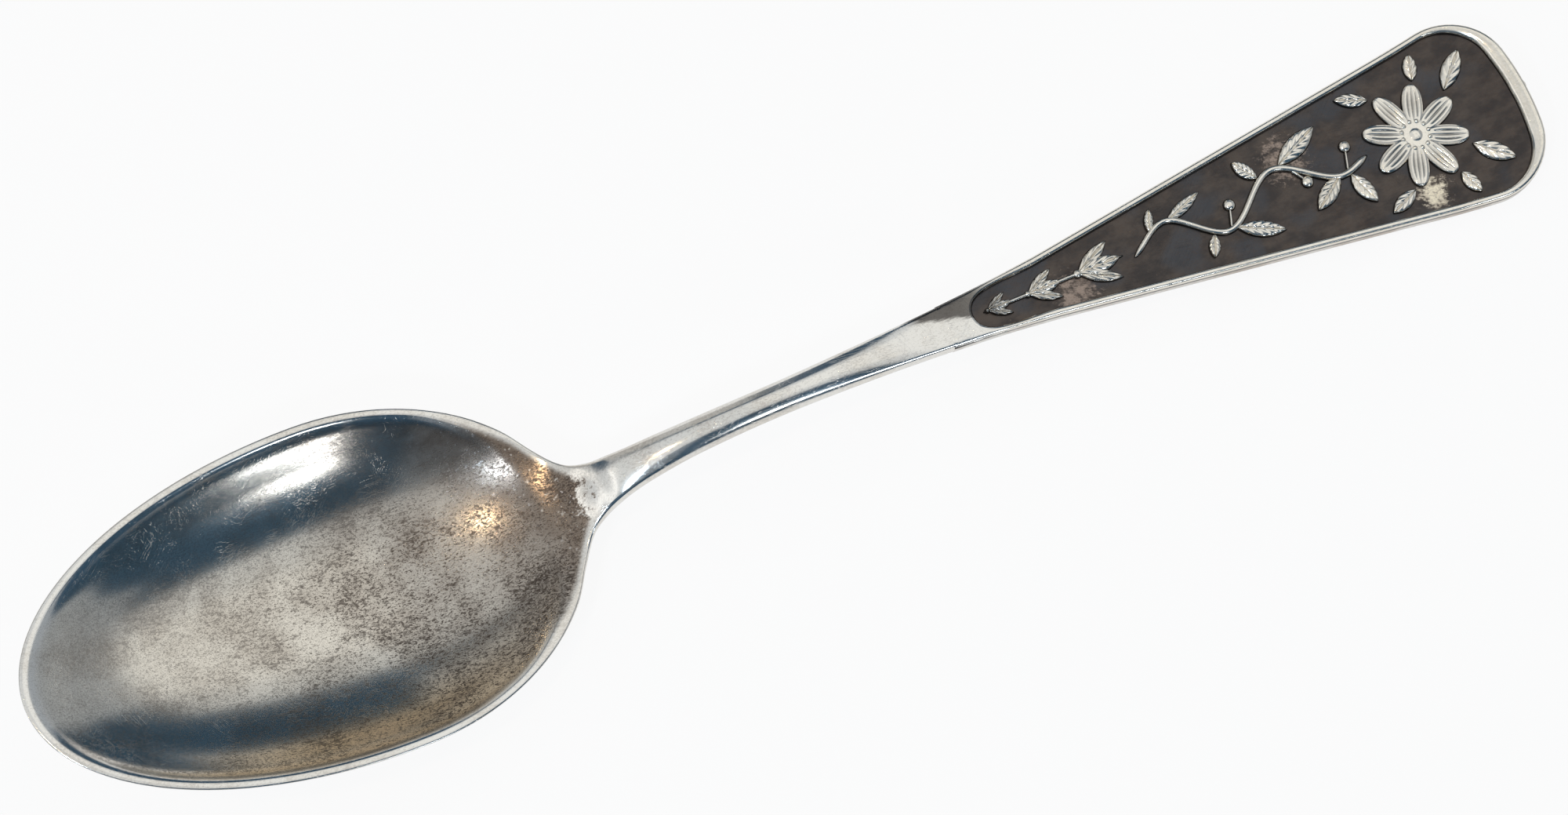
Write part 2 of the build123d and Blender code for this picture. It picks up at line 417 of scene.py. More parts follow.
# %% Bowl
heel_rows = np.concatenate([
    np.arange(widest_station, 45.0, 0.6)[1:],
    np.arange(45.0, 52.0, 0.2),
    np.linspace(52.0, heel_station, 12),
])
tip_angles = np.linspace(math.pi / 2, -math.pi / 2, 121)
bowl_lines = [spoon_row(station, 1) for station in heel_rows[::-1]]
bowl_lines += [tip_ray(angle) for angle in tip_angles]
bowl_lines += [spoon_row(station, -1) for station in heel_rows]
bowl = grid_mesh(bowl_lines, "spoon_bowl")
finish_mesh(bowl)
print(bowl.name, len(bowl.data.polygons), "faces")

# %% [markdown]
# ### The stem
#
# On the real spoon the stem is a slim dome over a rounded belly, without an edge between the
# bowl and the handle. It could be a curve with a bevel, but its section changes all the way, so
# it is made from the same rows as the bowl: one line over each side, joined into a ring.

# %% Stem
stem_rows = np.linspace(heel_station, panel_station, 45)
stem_lines = [
    np.vstack([spoon_row(station, 1), spoon_row(station, -1)[-2::-1]])
    for station in stem_rows
]
stem = grid_mesh(stem_lines, "spoon_stem")
finish_mesh(stem)
print(stem.name, len(stem.data.polygons), "faces")

# %% [markdown]
# ### One skin over two pieces
#
# Where two pieces meet, each would be shaded as if it ended there, and a line would show. So
# both get the same normals along their common edge: the mean of what their skins have there,
# without the flat ends that close them.

# %% Shared normals along the seams


def share_normals(first, second, station):
    """Give two pieces the same normals where their vertices coincide at a station."""
    sums, corners = {}, {first: [], second: []}
    for piece in (first, second):
        mesh = piece.data
        for polygon in mesh.polygons:
            if abs(polygon.normal.x) > 0.99:
                continue        # the flat end of the piece has no part in the skin
            for loop in polygon.loop_indices:
                place = mesh.vertices[mesh.loops[loop].vertex_index].co
                if abs(place.x - tip_x - station * MM) < 1e-6:
                    key = (round(place.y / MM, 3), round(place.z / MM, 3))
                    sums[key] = sums.get(key, Vector()) + mesh.corner_normals[loop].vector
                    corners[piece].append((loop, key))
    for piece in (first, second):
        normals = [corner.vector.copy() for corner in piece.data.corner_normals]
        for loop, key in corners[piece]:
            normals[loop] = sums[key].normalized()
        piece.data.normals_split_custom_set(normals)
        print(piece.name, len(corners[piece]), "corners share their normals at", station)


share_normals(bowl, stem, heel_station)

# %% [markdown]
# ## The handle's panel
#
# In plan the handle is a straight flare, two corner arcs and one large bulged arc. The sunk
# field has the same form, inset by the border's width. The panel's skin reuses the lines of
# the bowl: straight rows along the flare, and a fan round the end.

# %% Plan of the handle
root_points = 34            # along the narrow root of the handle, or round the field's nose
seam_points = 10            # of these, across half of the seam with the stem
side_points = 45
corner_points = 14
bulge_points = 12
first_row = seam_points - 1


def handle_outline(inset, end_inset):
    """Half of the handle's plan, or of its field: points, and normals that point inwards."""
    lean = math.sqrt(1 + side_slope**2)
    flare = flare_half_width - inset * lean
    centre, radius, corner = length - end_radius, end_radius - end_inset, corner_radius - end_inset
    # the corner's circle touches the straight side and the end's circle
    rise = flare + side_slope * (centre - flare_station) - corner * lean
    a, b, c = lean**2, side_slope * rise, rise**2 - (radius - corner) ** 2
    x = (-b + math.sqrt(b * b - a * c)) / a
    y = rise + side_slope * x
    if inset:
        t = np.linspace(0, 1, root_points)[:, None]
        chord = math.hypot(flare_station - nose_station, flare)
        nose, joint = np.array([nose_station, 0.0]), np.array([flare_station, flare])
        leave, arrive = np.array([0.0, chord]), np.array([chord, chord * side_slope]) / lean
        root = (1 + 2 * t) * (1 - t) ** 2 * nose + t * (1 - t) ** 2 * leave
        root = root + t**2 * (3 - 2 * t) * joint + t**2 * (t - 1) * arrive
    else:
        across_seam = np.linspace(0, 1, seam_points) * neck_half(panel_station)
        seam = np.column_stack([np.full(seam_points, panel_station), across_seam])
        along = np.linspace(panel_station, flare_station, root_points - seam_points + 1)[1:]
        root = np.vstack([seam, np.column_stack([along, neck_half(along)])])
    side_end = x + centre - corner * side_slope / lean
    along = np.linspace(flare_station, side_end, side_points + 1)[1:]
    side = np.column_stack([along, flare + side_slope * (along - flare_station)])
    angles = np.linspace(math.atan2(1, -side_slope), math.atan2(y, x), corner_points + 1)[1:]
    bend = np.column_stack([centre + x + corner * np.cos(angles), y + corner * np.sin(angles)])
    angles = np.linspace(math.atan2(y, x), 0, bulge_points + 1)[1:]
    bulge = np.column_stack([centre + radius * np.cos(angles), radius * np.sin(angles)])
    points = np.vstack([root, side, bend, bulge])
    tangents = np.gradient(points, axis=0)
    tangents[-1] = (0, -1)
    normals = np.column_stack([tangents[:, 1], -tangents[:, 0]])
    return points, normals / np.linalg.norm(normals, axis=1)[:, None]


outer, outer_inward = handle_outline(0, 0)
inner = handle_outline(border_width, end_border_width)[0]
print("handle outline", len(outer), "points, half width", round(float(outer[:, 1].max()), 2), "mm")

# %% [markdown]
# ### Ground of the field
#
# A struck ground is never a perfect plane, because it carries the soft marks of the die. Three
# crossed waves are enough, a few hundredths of a millimetre high. The fine grain is left to the
# material.

# %% Panel piece
wave_height = 0.012
wave_slopes = ((0.9, 0.5), (-0.35, 1.7), (0.23, 1.0))       # radians per mm along and across
plate_rounding = 0.02       # the border stands on this edge, so it is nearly sharp
back_rounding = 0.4
panel_squeeze = 0.2         # the panel's bands are this much narrower than the bowl's


def plate_height(station, y):
    """Top of the plate, with the soft waves of the ground."""
    waves = sum(np.sin(station * a + y * b) for a, b in wave_slopes)
    return back_height(station, plate_thickness) + wave_height * waves


def panel_back(station, y):
    """Back of the panel, which is the same at every y."""
    return back_height(station)


def panel_line(edge, inward, side):
    """Line of the panel: straight across along the flare, fanned round the end."""
    edge = np.array([edge[0], side * edge[1]])
    fan = edge[0] > seat_station
    centre = (seat_station, 0) if fan else (edge[0], 0)
    inward = (inward[0], side * inward[1]) if fan else (0, -side)
    high = float(back_height(edge[0], plate_thickness))
    low = float(back_height(edge[0]))
    return skin_line(
        centre,
        edge,
        inward,
        plate_height,
        panel_back,
        high,
        low,
        plate_rounding,
        back_rounding,
        panel_squeeze,
    )


rows = list(zip(outer[first_row:], outer_inward[first_row:]))
half_lines = [panel_line(point, inward, 1) for point, inward in rows]
other_half = [panel_line(point, inward, -1) for point, inward in rows[:-1]]
panel = grid_mesh(half_lines + other_half[::-1], "handle_panel")
finish_mesh(panel)
print(panel.name, len(panel.data.polygons), "faces")

# %% [markdown]
# ## The raised border
#
# The border is a rounded bead between the handle's outline and the field. At the narrow end
# the two sides run together into the top of the stem. The height at each place follows from
# the distance to the two outlines, so the bead keeps its section where it widens.

# %% Border piece
bead_half = 0.48            # at this distance from its sides the bead is at its full height
end_bead_extra = 0.27       # and it takes this much more at the handle's end
bead_power = 2.3            # 2 would be an ellipse, and more is squarer
end_begins, end_full = 138.0, 146.0
side_reach = 0.5            # the points are closer within this distance from each side
foot_shares = np.array([0.85, 0.12])        # places of the hidden feet on the way across
sink = 0.06                 # how far the border and the relief reach into the plate


def distance_to(points, outline):
    """Shortest distance from each point to a line of points."""
    fine = np.vstack([outline[:-1] + (outline[1:] - outline[:-1]) * t for t in (0, 0.25, 0.5, 0.75)])
    return np.sqrt(((points[:, None, :] - fine[None]) ** 2).sum(axis=2)).min(axis=1)


def bead_rise(station, y):
    """Height of the border over the plate."""
    points = np.column_stack([station, np.abs(y)])
    from_outside = distance_to(points, outer[first_row:])
    from_field = distance_to(points, inner)
    widest = bead_half + end_bead_extra * ease(station, end_begins, end_full)
    half = np.minimum((from_outside + from_field) / 2, widest)
    share = np.clip(np.minimum(from_outside, from_field) / half, 0, 1)
    return border_height * (1 - (1 - share) ** bead_power) ** (1 / bead_power)


def border_line(outside, inside, side):
    """Line across the border and back underneath it."""
    outside, inside = outside * (1, side), inside * (1, side)
    span = np.linalg.norm(inside - outside)
    reach = min(side_reach, 0.5 * span) if outside[0] < end_begins else 0.5 * span
    steps = reach * (1 - np.cos(np.linspace(0, math.pi / 2, 9)))
    shares = np.concatenate([steps, np.linspace(reach, span - reach, 5)[1:-1], span - steps[::-1]]) / span
    plan = outside + (inside - outside) * shares[:, None]
    rise = bead_rise(plan[:, 0], plan[:, 1])
    rise[-1] = 0
    if outside[0] > panel_station + 1e-6:
        rise[0] = 0
    crown = crown_height(plan[:, 0]) * np.clip(plan[:, 1] / outline_half(plan[:, 0]), -1, 1) ** 2
    level = back_height(plan[:, 0], plate_thickness)
    heights = np.where(rise > 0.01, level + rise - crown, level + rise)
    hidden = outside + (inside - outside) * foot_shares[:, None]
    hidden_heights = back_height(hidden[:, 0], plate_thickness) - sink
    return np.vstack([np.column_stack([plan, heights]), np.column_stack([hidden, hidden_heights])])


border_half = [border_line(out, field, 1) for out, field in zip(outer, inner)]
border_other = [border_line(out, field, -1) for out, field in zip(outer[1:-1], inner[1:-1])]
border_lines = [np.vstack([line, line[:1]]) for line in border_half + border_other[::-1]]
border = grid_mesh(border_lines, "handle_border", closed=True)
finish_mesh(border, 75)
print(border.name, len(border.data.polygons), "faces")

# %% [markdown]
# ## Relief on the field
#
# Struck relief is low and soft: steep at the foot, nearly flat on top, with lines cut back into
# it. Each motif is made flat, as closed rings of points whose height is their *rise* over the
# ground, and all of them are laid on the plate at the end, so that they follow the curled end.
#
# The rise is kept as an attribute of the vertices. The materials read it to paint the feet of
# the relief black, partly as oxide and partly as painted shade, and to leave its crowns bright.

# %% Rings of the relief
relief_height = 0.5
relief_sharpness = 60       # degrees; a fold that is sharper keeps its edge in the shading
half_across = np.array([0.05, 0.1, 0.15, 0.21, 0.29, 0.39, 0.5, 0.61, 0.72, 0.82, 0.9, 0.96, 0.99, 1.0])
across = np.concatenate([-half_across[::-1], [0.0], half_across])
turns = np.linspace(0, 2 * math.pi, 25)


def ring(middle, side, rises):
    """Closed cross-section: over the top from one side to the other, and back underneath."""
    over = np.column_stack([middle + side * across[:, None], rises])
    low = np.array([[*(middle + side * share), -sink] for share in (0.9, -0.9)])
    return np.vstack([over, low, over[:1]])


# %% Leaf
rib_half = 0.13             # half width of the midrib's groove, as a share of the leaf's
rib_depth = 0.36            # depths of the grooves, as shares of the leaf's rise
vein_depth = 0.22
vein_slant = 1.6
leaf_turns = np.linspace(0.06, math.pi - 0.06, 57)


def leaf(root, tip, swell, lift=1.0, veins=6):
    """Pointed leaf with arcs for sides, a midrib and slanting side veins."""
    root, tip = np.array(root, float), np.array(tip, float)
    chord = np.linalg.norm(tip - root)
    side = np.array([tip[1] - root[1], root[0] - tip[0]]) / chord
    radius = (chord**2 / 4 + swell**2) / (2 * swell)
    dome = (1 - np.abs(across) ** 3) ** 0.5
    rib = np.exp(-((across / rib_half) ** 2))
    lines = []
    for t in (1 - np.cos(leaf_turns)) / 2:
        half = math.sqrt(radius**2 - (t - 0.5) ** 2 * chord**2) - (radius - swell)
        slant = (0.5 + 0.5 * np.cos(2 * math.pi * (veins * t - vein_slant * np.abs(across)))) ** 2
        body = 1 - rib_depth * rib - vein_depth * slant * (1 - rib) * math.sin(math.pi * t)
        ends = (1 - abs(2 * t - 1) ** 5) ** 0.5
        lines.append(ring(root + (tip - root) * t, side * half, relief_height * lift * dome * body * ends))
    return lines


# %% Stalk and button
def stalk(points, start_width, end_width, lift=0.9, steps=60):
    """Winding half-round stalk that passes through the points."""
    points = np.array(points, float)
    reach = np.concatenate([[0], np.cumsum(np.linalg.norm(np.diff(points, axis=0), axis=1))])
    places = np.linspace(0, reach[-1], steps)
    line = np.column_stack([curve_through(reach, points[:, axis])(places) for axis in (0, 1)])
    along = np.gradient(line, axis=0)
    along /= np.linalg.norm(along, axis=1)[:, None]
    taper = np.minimum(1, np.minimum(np.arange(steps), np.arange(steps)[::-1]) / 4 + 0.1) ** 0.5
    half = 0.5 * np.linspace(start_width, end_width, steps) * taper
    rise = relief_height * lift * taper * np.linspace(1, math.sqrt(end_width / start_width), steps)
    profile = (1 - across**2) ** 0.5
    return [
        ring(middle, np.array([tangent[1], -tangent[0]]) * wide, high * profile)
        for middle, tangent, wide, high in zip(line, along, half, rise)
    ]


def button(centre, radius, lift=1.0, squareness=2.0):
    """Round button, from its crown out to its foot."""
    spread = np.column_stack([np.cos(turns), np.sin(turns)]) * radius
    lines = []
    for share in np.append(np.sin(np.linspace(0.03, math.pi / 2, 9)), 0.9):
        rise = relief_height * lift * (1 - share**squareness) ** (1 / squareness)
        lines.append(np.column_stack([np.array(centre) + spread * share, np.full(len(turns), rise)]))
    lines[-1][:, 2] = -sink
    return lines


# %% Petal
cup_depth = 0.45            # depths of the hollow and of the grooves, as shares of the rise
groove_depth = 0.3
petal_turns = np.linspace(0.08, math.pi - 0.08, 33)


def petal(start, end, half_width):
    """Petal along the first axis: cupped, with a raised rim and fine grooves along it."""
    lines = []
    for angle in petal_turns:
        t = (1 - math.cos(angle)) / 2
        half = half_width * math.sin(angle) ** 0.9
        dome = (1 - np.abs(across) ** 4) ** 0.5
        cup = 1 - cup_depth * (1 - across**2) * math.sin(math.pi * t) ** 0.8
        grooves = 1 - groove_depth * np.cos(across * 2.5 * math.pi) ** 6 * math.sin(math.pi * t)
        rises = relief_height * dome * cup * grooves * (1 - abs(2 * t - 1) ** 7) ** 0.5
        lines.append(ring(np.array([start + (end - start) * t, 0]), np.array([0, -half]), rises))
    return lines


def shaped(lines, origin=(tip_x, 0, 0)):
    """Closed mesh from one motif's rings."""
    piece = grid_mesh(lines, "motif", origin=origin)
    finish_mesh(piece, relief_sharpness)
    return piece


# %% [markdown]
# ### What repeats round a centre
#
# The petals and the granules of the blossom are one motif repeated round a centre, so Geometry
# Nodes does it: *Points* gives one point for each copy, *Instance on Points* turns them by
# their index, and *Realize Instances* makes a plain mesh that can be laid on the plate.

# %% Geometry Nodes: a motif repeated round a centre


def round_group():
    """Node group that repeats a motif round the origin."""
    group = bpy.data.node_groups.new("repeat_round_a_centre", "GeometryNodeTree")
    group.interface.new_socket("Motif", in_out="INPUT", socket_type="NodeSocketObject")
    group.interface.new_socket("Count", in_out="INPUT", socket_type="NodeSocketInt")
    group.interface.new_socket("Radius", in_out="INPUT", socket_type="NodeSocketFloat")
    group.interface.new_socket("First angle", in_out="INPUT", socket_type="NodeSocketFloat")
    group.interface.new_socket("Finish", in_out="INPUT", socket_type="NodeSocketMaterial")
    group.interface.new_socket("Geometry", in_out="OUTPUT", socket_type="NodeSocketGeometry")
    nodes, links = group.nodes, group.links
    given = nodes.new("NodeGroupInput")
    info = nodes.new("GeometryNodeObjectInfo")
    points = nodes.new("GeometryNodePoints")
    index = nodes.new("GeometryNodeInputIndex")
    share = nodes.new("ShaderNodeMath")
    share.operation = "DIVIDE"
    angle = nodes.new("ShaderNodeMath")
    angle.operation = "MULTIPLY_ADD"
    angle.inputs[1].default_value = 2 * math.pi
    turn = nodes.new("ShaderNodeCombineXYZ")
    reach = nodes.new("ShaderNodeCombineXYZ")
    place = nodes.new("ShaderNodeVectorRotate")
    place.rotation_type = "Z_AXIS"
    copies = nodes.new("GeometryNodeInstanceOnPoints")
    realize = nodes.new("GeometryNodeRealizeInstances")
    finish = nodes.new("GeometryNodeSetMaterial")
    result = nodes.new("NodeGroupOutput")
    for start, end in (
        (given.outputs["Motif"], info.inputs["Object"]),
        (given.outputs["Count"], points.inputs["Count"]),
        (index.outputs["Index"], share.inputs[0]),
        (given.outputs["Count"], share.inputs[1]),
        (share.outputs[0], angle.inputs[0]),
        (given.outputs["First angle"], angle.inputs[2]),
        (angle.outputs[0], turn.inputs["Z"]),
        (given.outputs["Radius"], reach.inputs["X"]),
        (reach.outputs[0], place.inputs["Vector"]),
        (angle.outputs[0], place.inputs["Angle"]),
        (place.outputs[0], points.inputs["Position"]),
        (points.outputs["Points"], copies.inputs["Points"]),
        (info.outputs["Geometry"], copies.inputs["Instance"]),
        (turn.outputs[0], copies.inputs["Rotation"]),
        (copies.outputs["Instances"], realize.inputs["Geometry"]),
        (realize.outputs["Geometry"], finish.inputs["Geometry"]),
        (given.outputs["Finish"], finish.inputs["Material"]),
        (finish.outputs["Geometry"], result.inputs["Geometry"]),
    ):
        links.new(start, end)
    return group


relief_silver = bpy.data.materials.new("relief_silver")
round_nodes = round_group()
sockets = {item.name: item.identifier for item in round_nodes.interface.items_tree}


def repeated(motif, count, radius, first_angle, centre):
    """Mesh of a motif repeated round a centre on the plate's plan."""
    holder = bpy.data.objects.new("holder", bpy.data.meshes.new("holder"))
    bpy.context.collection.objects.link(holder)
    modifier = holder.modifiers.new("round", "NODES")
    modifier.node_group = round_nodes
    modifier[sockets["Motif"]] = motif
    modifier[sockets["Count"]] = count
    modifier[sockets["Radius"]] = radius * MM
    modifier[sockets["First angle"]] = first_angle
    modifier[sockets["Finish"]] = relief_silver
    bpy.context.view_layer.update()
    shown = holder.evaluated_get(bpy.context.evaluated_depsgraph_get())
    mesh = bpy.data.meshes.new_from_object(shown)
    mesh.transform(Matrix.Translation((tip_x + centre[0] * MM, centre[1] * MM, 0)))
    holder.modifiers.clear()
    bpy.data.objects.remove(holder)
    bpy.data.objects.remove(motif)
    piece = bpy.data.objects.new("motif", mesh)
    bpy.context.collection.objects.link(piece)
    return piece


def laid_on_plate(name, motifs):
    """One object out of flat motifs, with their rise kept, laid on the plate."""
    work = bmesh.new()
    for motif in motifs:
        work.from_mesh(motif.data)
        bpy.data.objects.remove(motif)
    mesh = bpy.data.meshes.new(name)
    work.to_mesh(mesh)
    work.free()
    places = np.empty(len(mesh.vertices) * 3)
    mesh.vertices.foreach_get("co", places)
    places = places.reshape(-1, 3)
    rise = mesh.attributes.new("rise", "FLOAT", "POINT")
    rise.data.foreach_set("value", np.clip(places[:, 2] / MM / relief_height, 0, 1))
    places[:, 2] += plate_height((places[:, 0] - tip_x) / MM, places[:, 1] / MM) * MM
    mesh.vertices.foreach_set("co", places.ravel())
    mesh.update()
    mesh.shade_smooth()
    mesh.set_sharp_from_angle(angle=math.radians(relief_sharpness))
    piece = bpy.data.objects.new(name, mesh)
    bpy.context.collection.objects.link(piece)
    print(name, len(mesh.polygons), "faces")
    return piece


# %% [markdown]
# ### The blossom
#
# A flower with cupped petals round a flat boss, and a ring of granules on it. The petals'
# grooves and raised rims are real shape, so that they catch the light from every side. One
# petal and one granule are modelled, and the node group turns them round the centre.

# %% Blossom
petal_count = 8
petal_start, petal_end, petal_half_width = 0.9, 5.25, 1.1
granule_count = 12
granule_radius, granule_ring = 0.32, 1.38
boss_radius, boss_lift, boss_squareness = 1.86, 0.7, 5
eye_radius, eye_lift = 0.88, 1.04
blossom_centre = (138.4, 0.0)
one_petal = shaped(petal(petal_start, petal_end, petal_half_width), (0, 0, 0))
petals = repeated(one_petal, petal_count, 0.0, math.pi / petal_count, blossom_centre)
one_granule = shaped(button((0, 0), granule_radius, 1.0), (0, 0, 0))
granules = repeated(one_granule, granule_count, granule_ring, 0.0, blossom_centre)
boss = shaped(button(blossom_centre, boss_radius, boss_lift, boss_squareness))
eye = shaped(button(blossom_centre, eye_radius, eye_lift))
blossom = laid_on_plate("relief_blossom", [petals, granules, boss, eye])

# %% [markdown]
# ### The leaves round the blossom
#
# Three loose leaves on each side fill the round end of the field. A leaf is given by its root,
# its tip and how far its sides swell, and the other side of the handle mirrors it.

# %% Leaf spray
spray_leaves = [
    ((143.0, 2.9), (146.1, 6.0), 0.95),
    ((140.7, 5.0), (141.6, 7.6), 0.75),
    ((135.8, 4.9), (132.6, 6.2), 0.75),
]
spray_lift, spray_veins = 0.9, 4
leaf_spray = laid_on_plate(
    "relief_leaf_spray",
    [
        shaped(leaf((root[0], side * root[1]), (tip[0], side * tip[1]), swell, spray_lift, spray_veins))
        for side in (-1, 1)
        for root, tip, swell in spray_leaves
    ],
)

# %% [markdown]
# ### The vine
#
# A stalk winds along the middle of the field, with leaves and berries on both sides. Its line
# passes through six places, and every leaf and berry starts on it. They differ in size and
# direction, as an engraver would draw them, so they are placed one by one and not repeated.

# %% Vine
vine_line = [(107.6, -0.6), (111.5, 1.5), (117.0, -1.7), (123.6, 2.2), (130.2, -0.9), (133.0, 0.0)]
vine_stalk = (0.62, 0.78, 0.9, 110)         # width at each end, lift, steps
vine_leaves = [
    ((111.8, 1.3), (116.2, 2.9), 0.62),
    ((109.9, 1.0), (110.9, 3.2), 0.5),
    ((117.9, -1.7), (122.3, -3.7), 0.85),
    ((115.6, -1.5), (114.6, -3.6), 0.6),
    ((124.4, 2.3), (129.6, 4.6), 1.0),
    ((122.0, 1.9), (120.4, 4.3), 0.75),
    ((129.6, -0.8), (126.0, -3.2), 0.9),
    ((130.6, -1.1), (131.8, -4.6), 0.9),
]
vine_berries = [
    ((117.4, -1.7), (118.3, 0.6)),
    ((125.1, 1.9), (126.4, -0.2)),
    ((130.5, -0.9), (131.4, 1.6)),
]
berry_radius = 0.62
berry_stalk = (0.36, 0.3, 0.7, 14)
vine_motifs = [shaped(stalk(vine_line, *vine_stalk))]
vine_motifs += [shaped(leaf(root, tip, swell)) for root, tip, swell in vine_leaves]
vine_motifs += [shaped(stalk([root, centre], *berry_stalk)) for root, centre in vine_berries]
vine_motifs += [shaped(button(centre, berry_radius)) for root, centre in vine_berries]
vine = laid_on_plate("relief_vine", vine_motifs)

# %% [markdown]
# ### The bellflowers
#
# Three bells on one straight stalk close the narrow end of the field, and grow with its width.
# A bell is three leaves out of one point, the middle one longer, with a button for its foot. All
# its measures are shares of one size, so a loop makes the three.

# %% Bellflowers
bell_line = [(92.0, 0.0), (99.0, 0.0), (106.6, 0.0)]
bell_stalk = (0.4, 0.5, 0.6, 40)
bells = ((92.4, 0.62), (96.6, 0.85), (101.8, 1.1))          # station and size
middle_length, side_length, side_spread = 4.1, 3.6, 1.75    # times the size
middle_swell, side_swell, foot_radius = 0.75, 0.6, 0.42
middle_lift, side_lift, foot_lift = 1.0, 0.8, 0.95
middle_veins, side_veins = 4, 3
bell_motifs = [shaped(stalk(bell_line, *bell_stalk))]
for station, size in bells:
    foot = (station, 0)
    for side in (-1, 1):
        tip = (station + side_length * size, side * side_spread * size)
        bell_motifs.append(shaped(leaf(foot, tip, side_swell * size, side_lift, side_veins)))
    tip = (station + middle_length * size, 0)
    bell_motifs.append(shaped(leaf(foot, tip, middle_swell * size, middle_lift, middle_veins)))
    bell_motifs.append(shaped(button(foot, foot_radius * size, foot_lift)))
bellflowers = laid_on_plate("relief_bellflowers", bell_motifs)

# %% [markdown]
# ## Attributes that the finishes read
#
# A finish often needs to know *where* on the piece it is: inside the bowl or on its rim, on the
# sunk ground or on the wall, at the foot of a bead or on its crown. Each is a number from 0 to 1
# kept on the vertices, worked out from the same formulas as the shape.

# %% Attributes


def spots(piece):
    """Vertices of a piece as station, y and height in millimetres."""
    places = np.empty(len(piece.data.vertices) * 3)
    piece.data.vertices.foreach_get("co", places)
    return places.reshape(-1, 3).T / MM - np.array([[tip_x / MM], [0], [0]])


def keep(piece, name, values):
    """Store one number for each vertex."""
    attribute = piece.data.attributes.new(name, "FLOAT", "POINT")
    attribute.data.foreach_set("value", np.clip(values, 0, 1).astype(np.float32))


station, y, height = spots(bowl)
on_top = ease(height - top_height(station, y), -0.12, -0.02)
below_rim = rim_plane(station) - height
hollow = ease(below_rim, 0.15, 0.9) * ease(station, 50, 46)
tongue = ease(outline_half(station) - np.abs(y), 0.7, 1.7)      # the hollow runs out into the neck
tongue = tongue * ease(station, 42, 46) * ease(station, 54.6, 53.4)
keep(bowl, "inside", on_top * np.maximum(hollow, tongue))

station, y, height = spots(panel)
keep(panel, "ground", ease(height - back_height(station, plate_thickness), -0.12, -0.06))

station, y, height = spots(border)
keep(border, "rise", (height - back_height(station, plate_thickness)) / border_height)
print("attributes kept on bowl, panel and border")

# %% [markdown]
# ## Node groups shared by the finishes
#
# All the silver here is one metal, so scratches, flecks and patches come from two node groups
# that every finish uses. They read Object coordinates, so a pattern runs on without a break
# from the bowl into the stem and the handle. Each group gives plain masks, and the finish
# decides what to do with them.

# %% Helpers for nodes


def add_node(tree, kind, inputs, **settings):
    """New node with its settings, and its inputs set or linked."""
    made = tree.nodes.new(kind)
    for name, value in settings.items():
        setattr(made, name, value)
    for key, value in inputs.items():
        if isinstance(value, bpy.types.NodeSocket):
            tree.links.new(value, made.inputs[key])
        else:
            made.inputs[key].default_value = value
    return made


def calculate(tree, operation, a, b=0.0, clamp=False):
    """Output of a Math node."""
    inputs = {0: a, 1: b}
    return add_node(tree, "ShaderNodeMath", inputs, operation=operation, use_clamp=clamp).outputs[0]


def plus(tree, a, b):
    """Sum of two values."""
    return calculate(tree, "ADD", a, b)


def minus(tree, a, b):
    """The first value less the second."""
    return calculate(tree, "SUBTRACT", a, b)


def times(tree, a, b, clamp=False):
    """Product of two values, held between 0 and 1 where clamp is set."""
    return calculate(tree, "MULTIPLY", a, b, clamp)


def step_between(tree, value, low, high, to_low=0.0, to_high=1.0):
    """Smooth step from one value to another."""
    inputs = {"Value": value, "From Min": low, "From Max": high, "To Min": to_low, "To Max": to_high}
    return add_node(tree, "ShaderNodeMapRange", inputs, interpolation_type="SMOOTHSTEP").outputs["Result"]


def mixed(tree, factor, a, b):
    """Mix of two colours."""
    made = add_node(tree, "ShaderNodeMix", {"Factor": factor}, data_type="RGBA")
    for socket, value in zip((made.inputs[6], made.inputs[7]), (a, b)):
        if isinstance(value, bpy.types.NodeSocket):
            tree.links.new(value, socket)
        else:
            socket.default_value = (*value, 1)
    return made.outputs[2]


def along_axes(tree, place):
    """X, Y and Z of a place."""
    return tuple(add_node(tree, "ShaderNodeSeparateXYZ", {0: place}).outputs)


def noise(tree, place, scale, detail=4.0, roughness=0.6):
    """Value of a noise texture."""
    inputs = {"Vector": place, "Scale": scale, "Detail": detail, "Roughness": roughness}
    return add_node(tree, "ShaderNodeTexNoise", inputs).outputs[0]


def stretched(tree, place, scale, turn=0.0):
    """Place with a pattern's turn about the vertical and its stretch."""
    inputs = {"Vector": place, "Angle": turn}
    turned = add_node(tree, "ShaderNodeVectorRotate", inputs, rotation_type="Z_AXIS")
    inputs = {0: turned.outputs[0], 1: scale}
    return add_node(tree, "ShaderNodeVectorMath", inputs, operation="MULTIPLY").outputs[0]


def new_group(name, inputs, outputs):
    """Shader node group with its sockets; gives the group, its input node and its output node."""
    group = bpy.data.node_groups.new(name, "ShaderNodeTree")
    for socket, kind in inputs:
        group.interface.new_socket(socket, in_out="INPUT", socket_type=kind)
    for socket in outputs:
        group.interface.new_socket(socket, in_out="OUTPUT", socket_type="NodeSocketFloat")
    return group, group.nodes.new("NodeGroupInput"), group.nodes.new("NodeGroupOutput")


# %% [markdown]
# ### Hairline scratches
#
# Years of wiping leave fine scratches that run mostly along the spoon. A noise that is drawn out
# along a line crosses its middle value in long thin curves, and only a thin band round that
# value is kept. A second, wide noise makes them rare.

# %% Group: hairline scratches
scratch_sets = (            # turn about the vertical, and stretch
    (0.15, (0.04, 2.6, 2.6)),
    (-0.75, (0.05, 3.1, 3.1)),
    (1.2, (0.07, 2.2, 2.2)),
)
hair_width = 0.012


